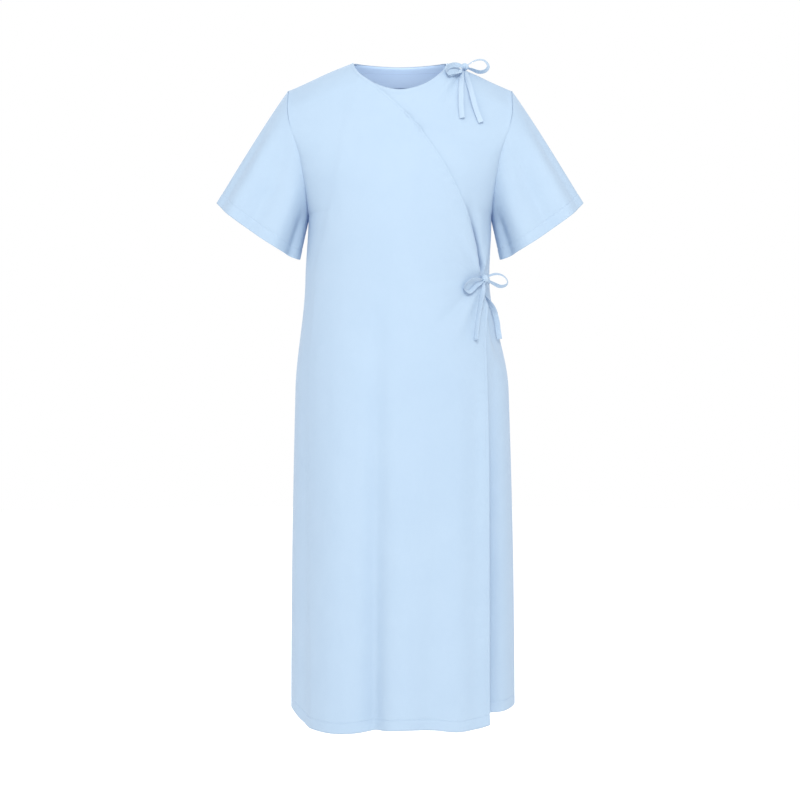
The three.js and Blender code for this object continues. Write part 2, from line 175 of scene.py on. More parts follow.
# Soft folds, as ridges (positive) and hollows, that run down to the hem: the place across at the top
# and at the foot, the drop at which the fold starts, its width at both ends, and its height at the foot.
frontDrapes = [
    ((-0.036, -0.044), 0.42, (0.014, 0.018), -0.0165),
    ((-0.092, -0.108), 0.40, (0.030, 0.038), 0.0105),
    ((0.012, 0.004), 0.56, (0.024, 0.030), 0.0065),
    ((0.062, 0.052), 0.60, (0.018, 0.026), -0.0050),
    ((0.100, 0.098), 0.50, (0.016, 0.022), 0.0042),
    ((-0.152, -0.164), 0.42, (0.011, 0.014), -0.0045),
]
backDrapes = [
    ((0.0, 0.0), 0.32, (0.018, 0.030), -0.0130),
    ((-0.048, -0.060), 0.38, (0.022, 0.032), 0.0105),
    ((0.050, 0.064), 0.40, (0.022, 0.032), 0.0100),
    ((-0.102, -0.120), 0.43, (0.016, 0.024), -0.0095),
    ((0.102, 0.122), 0.41, (0.016, 0.026), -0.0100),
]


def drapeHeight(x, drop, drapes):
    total = np.zeros(np.broadcast(x, drop).shape)
    for across, start, widths, high in drapes:
        along = np.clip((drop - start) / (cut["length"] - start), 0, 1)
        middle = across[0] + (across[1] - across[0]) * along
        wide = widths[0] + (widths[1] - widths[0]) * along
        total += high * along**0.8 * hump(x, middle, wide)
    return total


# Creases that fan out from a tied knot: bearing from straight down towards the wearer's left, reach,
# width and height.
knotCreases = [
    (-0.42, 0.150, 0.0095, 0.0022),
    (-0.75, 0.160, 0.0110, -0.0018),
    (-1.25, 0.140, 0.0130, 0.0012),
    (-2.25, 0.120, 0.0110, 0.0012),
    (-2.72, 0.125, 0.0085, 0.0028),
    (-3.00, 0.150, 0.0078, -0.0130),
    (2.98, 0.110, 0.0060, 0.0034),
    (-0.10, 0.130, 0.0070, 0.0022),
    (0.12, 0.150, 0.0055, 0.0046),
    (0.25, 0.165, 0.0085, -0.0150),
]
neckCreases = [
    (-0.42, 0.085, 0.0052, -0.0036),
    (-0.62, 0.080, 0.0060, 0.0024),
    (0.06, 0.075, 0.0050, 0.0020),
    (0.30, 0.080, 0.0055, -0.0022),
]
waistKnotXZ = (0.137, -0.374)
neckKnotXZ = (0.104, -0.016)


def creaseHeight(x, z, knot, creases):
    dx = x - knot[0]
    dz = z - knot[1]
    total = np.zeros(np.broadcast(x, z).shape)
    for bearing, reach, width, high in creases:
        ux, uz = math.sin(bearing), -math.cos(bearing)
        along = dx * ux + dz * uz
        aside = dx * uz - dz * ux
        wide = width * (0.35 + 0.9 * np.clip(along / reach, 0, 1.3))
        fade = smoothStep(0.002, 0.022, along) * (1 - smoothStep(0.35 * reach, reach, along))
        total += high * fade * hump(aside, 0, wide)
    return total


# The body with its folds laid on; they die away within foldFade radians of a side seam.
foldFade = 0.12


def bodySurface(turn, drop, side):
    turn, drop = np.broadcast_arrays(np.asarray(turn, float), np.asarray(drop, float))
    step = 0.004
    p = plainBody(turn, drop, side)
    around = plainBody(turn + step, drop, side) - plainBody(turn - step, drop, side)
    out = unit(np.stack([-side * around[..., 1], side * around[..., 0], np.zeros(turn.shape)], axis=-1))
    x, z = p[..., 0], p[..., 2]
    if side < 0:
        lift = drapeHeight(x, drop, frontDrapes)
        lift = lift + creaseHeight(x, z, waistKnotXZ, knotCreases)
        lift = lift + creaseHeight(x, z, neckKnotXZ, neckCreases) * smoothStep(0, 0.02, drop)
    else:
        lift = drapeHeight(x, drop, backDrapes)
    nearSeam = smoothStep(0, foldFade, math.pi / 2 - np.abs(turn))
    return p + out * (lift * nearSeam)[..., None]


def surfaceNormal(turn, drop, side):
    turn, drop = np.broadcast_arrays(np.asarray(turn, float), np.asarray(drop, float))
    upper = np.maximum(drop - 0.0015, 1e-6)
    across = bodySurface(turn + 0.006, drop, side) - bodySurface(turn - 0.006, drop, side)
    down = bodySurface(turn, drop + 0.0015, side) - bodySurface(turn, upper, side)
    return unit(np.cross(across, down) * side)


# Where the front's surface is, seen straight on at x and z: its turn and drop.
def findOnFront(x, z):
    x, z = np.broadcast_arrays(np.asarray(x, float), np.asarray(z, float))
    low, high = np.zeros(x.shape), np.full(x.shape, 1.2)
    for _ in range(40):
        middle = (low + high) / 2
        above = heightOf(x, middle) > z
        low = np.where(above, middle, low)
        high = np.where(above, high, middle)
    turn = np.arcsin(np.clip((x - sideShift(low)) / halfWidth(low), -0.9995, 0.9995))
    return turn, low


def onFront(x, z, lift=0.0):
    turn, drop = findOnFront(x, z)
    drop = np.maximum(drop, 0.0004)
    return bodySurface(turn, drop, -1) + surfaceNormal(turn, drop, -1) * np.asarray(lift)[..., None]


def linked(name, mesh):
    mesh.polygons.foreach_set("use_smooth", np.ones(len(mesh.polygons), bool))
    piece = bpy.data.objects.new(name, mesh)
    bpy.context.scene.collection.objects.link(piece)
    return piece


def pieceFrom(bm, name):
    mesh = bpy.data.meshes.new(name)
    bm.to_mesh(mesh)
    bm.free()
    return linked(name, mesh)


# A sheet as a grid: shape(u, v) places whole arrays of points, u across the cloth and v along it, and
# flat(u, v) gives the place on the unrolled cloth, in metres, for the weave.
def clothGrid(name, columns, rows, shape, flat, closed=False):
    us, vs = np.asarray(columns, float), np.asarray(rows, float)
    bm = bmesh.new()
    bmesh.ops.create_grid(bm, x_segments=len(us) - 1, y_segments=len(vs) - 1, size=0.5)
    mesh = bpy.data.meshes.new(name)
    bm.to_mesh(mesh)
    bm.free()
    count = len(mesh.vertices)
    if count != len(us) * len(vs):
        raise RuntimeError(f"{name}: the grid has {count} corners")
    spots = np.empty(count * 3)
    mesh.vertices.foreach_get("co", spots)
    spots = spots.reshape(-1, 3) + 0.5
    u = us[np.rint(spots[:, 0] * (len(us) - 1)).astype(int)]
    v = vs[np.rint(spots[:, 1] * (len(vs) - 1)).astype(int)]
    mesh.vertices.foreach_set("co", np.ascontiguousarray(shape(u, v), dtype=np.float32).ravel())
    corners = np.empty(len(mesh.loops), int)
    mesh.loops.foreach_get("vertex_index", corners)
    across, along = flat(u, v)
    layer = mesh.uv_layers.new(name="clothUV")
    laid = np.stack([across[corners], along[corners]], axis=-1)
    layer.data.foreach_set("uv", laid.astype(np.float32).ravel())
    if closed:
        bm = bmesh.new()
        bm.from_mesh(mesh)
        bmesh.ops.remove_doubles(bm, verts=bm.verts, dist=2e-6)
        bm.to_mesh(mesh)
        bm.free()
    mesh.update()
    return linked(name, mesh)


def thicken(piece, thickness):
    solid = piece.modifiers.new("clothThickness", "SOLIDIFY")
    solid.thickness = thickness
    solid.offset = 0


# Turns a sheet's faces away from centre(points), a place inside the gown for each face.
def faceAway(piece, centre):
    mesh = piece.data
    count = len(mesh.polygons)
    middles, normals, areas = np.empty(count * 3), np.empty(count * 3), np.empty(count)
    mesh.polygons.foreach_get("center", middles)
    mesh.polygons.foreach_get("normal", normals)
    mesh.polygons.foreach_get("area", areas)
    middles, normals = middles.reshape(-1, 3), normals.reshape(-1, 3)
    facing = np.einsum("ij,ij->i", middles - centre(middles), normals)
    if (facing * areas).sum() < 0:
        mesh.flip_normals()


def onAxis(points):
    return points * np.array([0.0, 0.0, 1.0])


# Positions for rows or columns: each stretch runs to an end in so many steps.
def steps(start, *stretches):
    places = [np.array([start], float)]
    for end, count in stretches:
        places.append(np.linspace(places[-1][-1], end, count + 1)[1:])
    return np.concatenate(places)


# A smooth curve through points, as so many places along it.
def catmull(points, count):
    p = np.asarray(points, float)
    ends = np.vstack([2 * p[0] - p[1], p, 2 * p[-1] - p[-2]])
    t = np.linspace(0, len(p) - 1, count)
    i = np.minimum(t.astype(int), len(p) - 2)
    f = (t - i)[:, None]
    a, b, c, d = ends[i], ends[i + 1], ends[i + 2], ends[i + 3]
    square = (2 * a - 5 * b + 4 * c - d) * f**2
    return 0.5 * (2 * b + (c - a) * f + square + (3 * b - a - 3 * c + d) * f**3)


# The outlines of the panels, as (x, z) places seen straight on.
panelEdges = {
    "neckToCross": [(-0.080, 0.0), (-0.0755, -0.016), (-0.0675, -0.029), (-0.056, -0.040), (-0.042, -0.051)],
    "crossing": [(-0.042, -0.051), (-0.003, -0.088), (0.045, -0.146), (0.092, -0.222), (0.123, -0.300),
                 (0.137, -0.374)],
    "freeEdge": 0.142,
    "freeTop": -0.404,
    "freeFoot": -1.14,
    "hiddenEdge": [(-0.060, -0.030), (-0.140, -0.374), (-0.140, -1.098)],
    "neckFullness": 1.75,
    "hemWidth": 0.017,
}
seamTurn = math.pi / 2 - 0.0008

freeLine = np.linspace(panelEdges["freeTop"], panelEdges["freeFoot"], 60)
overLine = np.vstack(
    [
        catmull(panelEdges["neckToCross"], 40)[:-1],
        catmull(panelEdges["crossing"], 160),
        np.stack([np.full(60, panelEdges["freeEdge"]), freeLine], axis=-1),
    ]
)
overEdgeTurns, overEdgeDrops = findOnFront(overLine[:, 0], overLine[:, 1])
overEdgeDrops[0] = 0


def overEdgeTurn(drop):
    return np.interp(drop, overEdgeDrops, overEdgeTurns)


def neckLine(bottom, fullness, count=161):
    x = cut["neckHalf"] * np.sin(np.linspace(-math.pi / 2, math.pi / 2, count))
    inside = np.clip(1 - np.abs(x / cut["neckHalf"]) ** fullness, 0, 1)
    return x, bottom * inside ** (1 / fullness)


def neckDrops(x, z):
    turns, drops = findOnFront(x, z)
    drops[0] = drops[-1] = 0
    return turns, drops


frontNeck = neckLine(-cut["frontNeckDrop"], panelEdges["neckFullness"])
frontNeckTurns, frontNeckDrops = neckDrops(*frontNeck)
backNeckTurns, backNeckDrops = neckDrops(*neckLine(cut["backNeckRise"], 2))
hiddenTurns, hiddenDrops = findOnFront(*np.array(panelEdges["hiddenEdge"]).T)


def hiddenTurn(drop):
    return np.interp(drop, hiddenDrops, hiddenTurns)


# The hem dips and rises a little with the folds.
overHem = profile(
    (-0.191, 1.1025), (-0.172, 1.1145), (-0.150, 1.1205), (-0.112, 1.1210), (-0.038, 1.1140),
    (0.005, 1.1105), (0.052, 1.1137), (0.088, 1.1175), (0.120, 1.1160), (0.142, 1.1115),
)
backHem = profile(
    (-0.191, 1.1010), (-0.150, 1.1120), (0.0, 1.1100), (0.140, 1.1110), (0.172, 1.1035), (0.191, 1.0980)
)
underHem = profile((-0.140, 1.0940), (0.120, 1.0990), (0.150, 1.0990), (0.191, 1.0965))


def hemmed(turn, drop, hem):
    x = halfWidth(cut["length"]) * np.sin(turn)
    stretch = hem(x) / cut["length"] - 1
    return drop * (1 + stretch * smoothStep(0.55, 1.0, drop / cut["length"]))


def gapToHem(turn, drop, hem):
    return hemmed(turn, np.full(turn.shape, cut["length"]), hem) - drop


# The pinch of a row of stitches, and the doubled cloth beyond it.
def stitchedEdge(distance, wide, pinch=0.0006):
    doubled = 0.00030 * (1 - smoothStep(wide - 0.0008, wide + 0.0008, distance))
    return doubled - pinch * hump(distance, wide, 0.0014)


def laidOut(turn, drop, side, lift):
    return bodySurface(turn, drop, side) + surfaceNormal(turn, drop, side) * lift[..., None]


clothLayers = {"single": 0.0006, "over": 0.0017, "facing": -0.0009, "thickness": 0.0007}


# A sheet of the gown with its outer face outwards and the cloth's thickness.
def sewnSheet(name, columns, rows, shape, flat, centre=onAxis, closed=False):
    piece = clothGrid(name, columns, rows, shape, flat, closed)
    faceAway(piece, centre)
    thicken(piece, clothLayers["thickness"])
    return piece


# Over panel, with its free corner. Its edge stands off the cloth below at the lifts: (drop, wide, share).
overPanelPlan = {
    "edgeBand": 0.0045,
    "edgeLift": 0.0068,
    "lifts": [(0.435, 0.035, 0.55), (0.325, 0.030, 0.95)],
    "pucker": 0.00045,
    "puckerEvery": 0.016,
    "gapes": [(0.014, 0.0042), (0.031, 0.0048)],  # where the crossing edge stands open: across, high
    "gapeWide": 0.0045,
}
# Metres of cloth for a radian of turn: beside the free edge, at the hidden edge, and laid flat.
sideReach = 0.15
hiddenReach = 0.19
frontReach = 0.205
backReach = 0.20
topDrop = 0.00002


def overLift(turn, drop, hemGap):
    plan = overPanelPlan
    fromHidden = (turn - hiddenTurn(drop)) * hiddenReach
    more = clothLayers["over"] - clothLayers["single"]
    lift = clothLayers["single"] + more * smoothStep(-0.022, -0.004, fromHidden)
    fromEdge = (overEdgeTurn(drop) - turn) * sideReach
    lift = lift + stitchedEdge(fromEdge, plan["edgeBand"], 0.0002)
    low = smoothStep(0.40, 0.70, drop)
    for at, wide, share in plan["lifts"]:
        low = low + share * hump(drop, at, wide)
    lift = lift + plan["edgeLift"] * low * hump(fromEdge, 0, 0.016)
    waves = np.sin(drop * math.tau / plan["puckerEvery"] + 1.7 * np.sin(drop * 31)) * np.sin(drop * 17 + 1)
    near = hump(fromEdge, 0.010, 0.012) * smoothStep(0.03, 0.10, drop)
    lift = lift + plan["pucker"] * waves * near
    for spot, high in plan["gapes"]:
        open = hump(acrossAt(turn, drop), spot, plan["gapeWide"]) * hump(fromEdge, 0, 0.007)
        lift = lift + high * open * (drop < 0.25)
    return lift + stitchedEdge(hemGap, panelEdges["hemWidth"])


def overShape(u, v):
    turn = -seamTurn + (overEdgeTurn(v) + seamTurn) * u
    drop = np.where(v > 0.4, hemmed(turn, v, overHem), v)
    hemGap = gapToHem(turn, drop, overHem)
    drop = np.maximum(drop, topDrop)
    return laidOut(turn, drop, -1, overLift(turn, drop, hemGap))


def overFlat(u, v):
    return (-seamTurn + (overEdgeTurn(v) + seamTurn) * u) * frontReach, v


hemRows = ((1.0925, 3), (1.0965, 5), (1.112, 6))
bodyRows = ((0.004, 5), (0.055, 18), (0.262, 60), (0.330, 22), (0.460, 52), (0.640, 40), (1.088, 88))
overRows = steps(0.0, *bodyRows, *hemRows)
overColumns = steps(0.0, (0.06, 8), (0.78, 64), (0.965, 26), (0.985, 6), (1.0, 6))
overPanel = sewnSheet("overPanel", overColumns, overRows, overShape, overFlat)
print("over panel:", len(overPanel.data.polygons), "faces")

# Under panel: it hangs from the left shoulder and its own edge is hidden. It sinks in beside the over
# panel's free edge, and in a hollow above the waist knot.
underPanelPlan = {
    "sink": 0.0190, "sinkAt": 0.155, "sinkWide": 0.0115,
    "hollow": 0.0140, "hollowAt": 0.004, "hollowWide": 0.0065,
}


def topOfPanel(turn, turns, drops):
    return np.where(np.abs(turn) < turns[-1], np.interp(turn, turns, drops), 0.0)


def underTurn(u, drop):
    return hiddenTurn(drop) + (seamTurn - hiddenTurn(drop)) * u


def underTop(u):
    drop = np.zeros(u.shape)
    for _ in range(40):
        drop = 0.5 * drop + 0.5 * topOfPanel(underTurn(u, drop), frontNeckTurns, frontNeckDrops)
    return drop


def underShape(u, v):
    top = underTop(u)
    drop = top + (cut["length"] - top) * v
    turn = underTurn(u, drop)
    drop = hemmed(turn, drop, underHem)
    plan = underPanelPlan
    low = smoothStep(0.44, 0.80, drop)
    sink = plan["sink"] * low * hump(acrossAt(turn, drop), plan["sinkAt"], plan["sinkWide"])
    beside = (turn - overEdgeTurn(drop)) * sideReach
    tucked = smoothStep(0.24, 0.31, drop) * (1 - smoothStep(0.345, 0.372, drop))
    sink = sink + plan["hollow"] * tucked * hump(beside, plan["hollowAt"], plan["hollowWide"])
    lift = clothLayers["single"] - sink
    lift = lift + stitchedEdge(gapToHem(turn, drop, underHem), panelEdges["hemWidth"])
    return laidOut(turn, np.maximum(drop, topDrop), -1, lift)


def underFlat(u, v):
    top = underTop(u)
    drop = top + (cut["length"] - top) * v
    return underTurn(u, drop) * frontReach, drop


underColumns = steps(0.0, (0.30, 26), (0.50, 24), (0.62, 22), (0.80, 26), (1.0, 26))
underRows = steps(0.0, (0.012, 6), (0.06, 16), (0.40, 78), (0.97, 126), (0.9825, 4), (0.9865, 5), (1.0, 6))
underPanel = sewnSheet("underPanel", underColumns, underRows, underShape, underFlat)

# Back panel, in one piece from seam to seam.
backPanelPlan = {"columns": 120}


def backShape(u, v):
    turn = -seamTurn + 2 * seamTurn * u
    top = topOfPanel(turn, backNeckTurns, backNeckDrops)
    drop = hemmed(turn, top + (cut["length"] - top) * v, backHem)
    lift = clothLayers["single"] + stitchedEdge(gapToHem(turn, drop, backHem), panelEdges["hemWidth"])
    return laidOut(turn, np.maximum(drop, topDrop), 1, lift)


def backFlat(u, v):
    turn = -seamTurn + 2 * seamTurn * u
    return turn * backReach, v * cut["length"]


backColumns = np.linspace(0, 1, backPanelPlan["columns"] + 1)
backPanel = sewnSheet("backPanel", backColumns, underRows, backShape, backFlat)
print("back and under panels:", len(backPanel.data.polygons) + len(underPanel.data.polygons), "faces")

# Neck facings, inside the neck edges.
facingPlan = {"width": 0.030, "below": 0.0006, "tuck": 0.0012, "tuckOver": 0.0010}


# A facing lies just inside its panel, with its upper edge turned in against the panel's.
def facingLift(v):
    return clothLayers["facing"] + facingPlan["tuck"] * hump(v * facingPlan["width"], 0, facingPlan["tuckOver"])


def facingPoints(turn, v, spread, top, side):
    drop = top + facingPlan["width"] * v + facingPlan["below"]
    return laidOut(turn * spread, np.maximum(drop, 0.0002), side, facingLift(v))


def backFacingShape(u, v):
    reach = backNeckTurns[-1]
    turn = -reach + 2 * reach * u
    return facingPoints(turn, v, 1 + 0.28 * v, topOfPanel(turn * 0.999, backNeckTurns, backNeckDrops), 1)


def underFacingShape(u, v):
    first, last = -0.30, frontNeckTurns[-1] * 0.999
    turn = first + (last - first) * u
    spread = 1 + 0.25 * v * smoothStep(0.5, 1, u)
    return facingPoints(turn, v, spread, topOfPanel(turn, frontNeckTurns, frontNeckDrops), -1)


def facingFlat(u, v):
    return u * 0.20, v * facingPlan["width"]


facingColumns = steps(0.0, (0.08, 14), (0.92, 60), (1.0, 14))
facingRows = steps(0.0, (0.12, 8), (1.0, 14))
backFacing = sewnSheet("backFacing", facingColumns, facingRows, backFacingShape, facingFlat)
underFacing = sewnSheet("underFacing", facingColumns, facingRows, underFacingShape, facingFlat)
print("facings done")

# Sleeves, from the armhole to an opening that leans outwards; hang, drop and level set the hem's line.
sleevePlan = {
    "fall": 0.187, "room": 0.009, "opening": 0.172, "lean": 0.586, "halfDepth": 0.056, "hem": 0.018,
    "hang": 0.0100, "drop": 0.0066, "level": 0.0018, "cap": 0.0022, "around": 144,
}
# Folds along a sleeve: angle round it from the top, width in radians and height.
sleeveDrapes = [
    (0.55, 0.18, -0.0040),
    (1.00, 0.20, 0.0062),
    (1.50, 0.19, -0.0066),
    (2.05, 0.24, 0.0060),
    (2.62, 0.21, -0.0078),
    (3.80, 0.24, 0.0050),
    (4.40, 0.22, -0.0060),
    (5.15, 0.26, 0.0052),
]


def sleeveLine(side, angle, along, offset):
    plan = sleevePlan
    lean = np.array([math.cos(plan["lean"]), 0, math.sin(plan["lean"])])
    lowDrop = plan["fall"] - heightOf(cut["shoulderHalf"], 0) + plan["opening"] * lean[2]
    lowX = halfWidth(lowDrop) - sideShift(lowDrop) + plan["room"]
    middle = np.array([lowX, 0, -lowDrop]) + lean * plan["opening"] / 2
    drop = cut["armhole"] * (1 - np.cos(angle)) / 2
    x = halfWidth(drop)
    start = np.stack([x + offset, -cut["armholeHalfDepth"] * np.sin(angle), heightOf(x, drop)], axis=-1)
    end = middle + lean * (plan["opening"] / 2) * np.cos(angle)[..., None]
    hang = plan["drop"] - plan["level"] * np.cos(angle) + plan["hang"] * np.sin(angle)
    end = end + hang[..., None] * np.array([lean[2], 0, -lean[0]])
    end[..., 1] = -plan["halfDepth"] * np.sin(angle)
    point = start + (end - start) * along[..., None]
    point[..., 0] *= side
    return point


def sleevePoint(side, angle, along, offset, lift):
    step = 0.01
    p = sleeveLine(side, angle, along, offset)
    around = sleeveLine(side, angle + step, along, offset) - sleeveLine(side, angle - step, along, offset)
    down = sleeveLine(side, angle, along + step, offset) - sleeveLine(side, angle, along - step, offset)
    normal = unit(np.cross(around, down) * side)
    high = np.zeros(angle.shape)
    for middle, wide, ridge in sleeveDrapes:
        away = (angle - middle + math.pi) % math.tau - math.pi
        high = high + ridge * hump(away, 0, wide)
    soft = smoothStep(0.02, 0.55, along)
    cap = sleevePlan["cap"] * np.sin(math.pi * np.clip(along, 0, 1) ** 0.7) * (0.5 + 0.5 * np.cos(angle))
    return p + normal * (high * soft + cap + lift)[..., None]


def sleeveLength(side, angle, offset):
    hem, seam = (sleeveLine(side, angle, np.full(angle.shape, end), offset) for end in (1.0, 0.0))
    return np.linalg.norm(hem - seam, axis=-1)


def makeSleeve(name, side):
    def shape(u, v):
        angle = u * math.tau
        hemGap = (1 - v) * sleeveLength(side, angle, clothLayers["single"])
        return sleevePoint(side, angle, v, clothLayers["single"], stitchedEdge(hemGap, sleevePlan["hem"]))

    def flat(u, v):
        return u * 0.46, v * 0.216

    rows = steps(0.0, (0.04, 4), (0.86, 44), (0.95, 22), (1.0, 6))
    columns = np.linspace(0, 1, sleevePlan["around"] + 1)
    middle = sleeveLine(side, np.linspace(0, math.tau, 60), np.full(60, 0.5), 0.0).mean(axis=0)

    def centre(points):
        return np.broadcast_to(middle, points.shape)

    return sewnSheet(name, columns, rows, shape, flat, centre, closed=True)


leftSleeve = makeSleeve("leftSleeve", 1)
rightSleeve = makeSleeve("rightSleeve", -1)
print("sleeves:", len(leftSleeve.data.polygons) * 2, "faces")


# Seams: a fine roll of turned cloth along the joins.
def seamRoll(name, paths, radius):
    bm = bmesh.new()
    for path in paths:
        columns, rows = np.linspace(0, 1, 9), np.linspace(0, 1, len(path))
        roll = clothGrid("roll", columns, rows, rollShape(path, radius), lambda u, v: (u * seamPlan["flat"], v))
        mesh = roll.data
        bm.from_mesh(mesh)
        bpy.data.objects.remove(roll)
        bpy.data.meshes.remove(mesh)
    bmesh.ops.remove_doubles(bm, verts=bm.verts, dist=1e-6)
    bmesh.ops.holes_fill(bm, edges=bm.edges, sides=10)
    bmesh.ops.recalc_face_normals(bm, faces=bm.faces)
    return pieceFrom(bm, name)


def rollShape(path, radius):
    along = unit(np.gradient(path, axis=0))
    helper = np.where(np.abs(along[:, 1:2]) < 0.9, np.array([0.0, 1.0, 0.0]), np.array([1.0, 0.0, 0.0]))
    one = unit(np.cross(along, helper))
    two = np.cross(along, one)

    def shape(u, v):
        i = np.rint(v * (len(path) - 1)).astype(int)
        a = (u * math.tau)[:, None]
        return path[i] + radius * (one[i] * np.cos(a) + two[i] * np.sin(a))

    return shape


def armholePath(side):
    angles = np.linspace(0.0, math.tau, 120)
    return sleevePoint(side, angles, np.full(120, 0.002), clothLayers["single"], np.zeros(120))


def shoulderPath(side):
    x = side * np.linspace(cut["neckHalf"] + 0.001, cut["shoulderHalf"], 40)
    return np.stack([x, np.zeros(40), heightOf(x, np.zeros(40)) + clothLayers["single"]], axis=-1)


def sidePath(side, hem):
    drop = np.linspace(cut["armhole"], hem, 130)
    x = sideShift(drop) + side * (halfWidth(drop) + clothLayers["single"])
    return np.stack([x, np.zeros(130), -drop], axis=-1)


seamPlan = {"roll": 0.0009, "flat": 0.004}
seamPaths = [armholePath(1), armholePath(-1), shoulderPath(1), shoulderPath(-1)]
seamPaths += [sidePath(1, 1.0965), sidePath(-1, 1.100)]
gownSeams = seamRoll("gownSeams", seamPaths, seamPlan["roll"])


# Rows of stitches, each stitch a small bead of thread. It stands proud of its cloth, less so in a hem.
threadPlan = {
    "every": 0.0034, "length": 0.0011, "thick": 0.00028,
    "proud": 0.0001, "hemSink": 0.0003, "sleeveSink": 0.0004,
}


def stitchRow(bm, points, normals):
    points = np.asarray(points)
    gaps = np.linalg.norm(np.diff(points, axis=0), axis=1)
    travel = np.concatenate([[0], np.cumsum(gaps)])
    places = np.arange(threadPlan["every"] / 2, travel[-1], threadPlan["every"])
    size = Matrix.Diagonal((threadPlan["length"], threadPlan["thick"], threadPlan["thick"], 1))

    def onRow(values, shift=0.0):
        return np.stack([np.interp(places + shift, travel, values[:, k]) for k in range(3)], axis=-1)

    for p, a, b, n in zip(onRow(points), onRow(points, 0.001), onRow(points, -0.001), onRow(normals)):
        along = Vector(a - b).normalized()
        up = Vector(n)
        up = (up - along * up.dot(along)).normalized()
        aside = up.cross(along)
        turnTo = Matrix((along, aside, up)).transposed().to_4x4()
        place = Matrix.Translation(Vector(p)) @ turnTo @ size
        bmesh.ops.create_icosphere(bm, subdivisions=1, radius=1, matrix=place)


def stitches(name, rows):
    bm = bmesh.new()
    for points, normals in rows:
        stitchRow(bm, points, normals)
    return pieceFrom(bm, name)


# The outer face's points and normals along a line of turns and drops.
def rowOn(turn, drop, side, lift):
    turn, drop = np.broadcast_arrays(np.asarray(turn, float), np.asarray(drop, float))
    points = bodySurface(turn, drop, side)
    normals = surfaceNormal(turn, drop, side)
    return points + normals * np.broadcast_to(lift, turn.shape)[..., None], normals


half = clothLayers["thickness"] / 2
proud = half + threadPlan["proud"]


def hemRow(first, last, hem, side, liftAt):
    turn = np.linspace(first, last, 200)
    full = hemmed(turn, np.full(200, cut["length"]), hem)
    drop = full - panelEdges["hemWidth"]
    return rowOn(turn, drop, side, liftAt(turn, drop))


def overStitchLift(turn, drop):
    return overLift(turn, drop, np.full(turn.shape, panelEdges["hemWidth"])) + proud


def edgeStitchLift(turn, drop):
    return overLift(turn, drop, np.ones(turn.shape)) + proud


def singleLift(turn, drop):
    return np.full(turn.shape, clothLayers["single"] - threadPlan["hemSink"] + half)


edgeDrops = np.concatenate([np.linspace(0.004, 0.40, 240), np.linspace(0.402, 1.09, 260)])
edgeTurns = overEdgeTurn(edgeDrops) - overPanelPlan["edgeBand"] / sideReach
overStitches = stitches(
    "overStitches",
    [
        hemRow(-seamTurn + 0.02, overEdgeTurn(1.09) - 0.03, overHem, -1, overStitchLift),
        rowOn(edgeTurns, edgeDrops, -1, edgeStitchLift(edgeTurns, edgeDrops)),
    ],
)
neckTurn = np.linspace(-0.18, frontNeckTurns[-1] - 0.005, 120)
neckDrop = np.interp(neckTurn, frontNeckTurns, frontNeckDrops) + 0.0065
backTurn = np.linspace(backNeckTurns[0] + 0.01, backNeckTurns[-1] - 0.01, 120)
backDrop = np.interp(backTurn, backNeckTurns, backNeckDrops) + 0.0065
insideLift = clothLayers["facing"] - proud
bodyStitches = stitches(
    "bodyStitches",
    [
        hemRow(0.80, seamTurn - 0.02, underHem, -1, singleLift),
        hemRow(-seamTurn + 0.02, seamTurn - 0.02, backHem, 1, singleLift),
        rowOn(neckTurn, neckDrop, -1, clothLayers["single"] + proud),
        rowOn(backTurn, backDrop, 1, clothLayers["single"] + proud),
        rowOn(backTurn, backDrop + 0.0025, 1, insideLift),
    ],
)


def sleeveStitches(name, side):
    angles = np.linspace(0, math.tau, 260)
    along = 1 - sleevePlan["hem"] / sleeveLength(side, angles, clothLayers["single"])
    sunk = np.full(260, half - threadPlan["sleeveSink"])
    points = sleevePoint(side, angles, along, clothLayers["single"], sunk)
    raised = sleevePoint(side, angles, along, clothLayers["single"], np.full(260, 0.004))
    return stitches(name, [(points, unit(raised - points))])


leftSleeveStitches = sleeveStitches("leftSleeveStitches", 1)
rightSleeveStitches = sleeveStitches("rightSleeveStitches", -1)
print("seams and stitches done")


# Ties: flat ribbon along a path, lying across the given directions, with a ridge near both borders.
tiePlan = {
    "width": 0.009, "thickness": 0.0006, "knotRadius": 0.006, "tailArch": 0.0016,
    "border": 0.00016, "borderAt": 0.38, "borderWide": 0.05, "cup": 0.0007,
}


def ribbon(name, path, across, width, narrowAt=()):
    along = unit(np.gradient(path, axis=0))
    across = unit(across - along * np.einsum("ij,ij->i", across, along)[:, None])
    out = np.cross(along, across)
    share = np.linspace(0, 1, len(path))
    wide = np.full(len(path), width)
    for end in narrowAt:
        wide = wide * (0.5 + 0.5 * smoothStep(0, 0.22, np.abs(share - end)))
    length = np.linalg.norm(np.diff(path, axis=0), axis=1).sum()

    def shape(u, v):
        i = np.rint(v * (len(path) - 1)).astype(int)
        side = u - 0.5
        border = tiePlan["border"] * hump(np.abs(side), tiePlan["borderAt"], tiePlan["borderWide"])
        cup = tiePlan["cup"] * (0.25 - side**2)
        return path[i] + across[i] * (side * wide[i])[:, None] + out[i] * (cup - border)[:, None]

    piece = clothGrid(name, np.linspace(0, 1, 13), share, shape, lambda u, v: (u * width, v * length))
    thicken(piece, tiePlan["thickness"])
    return piece, length


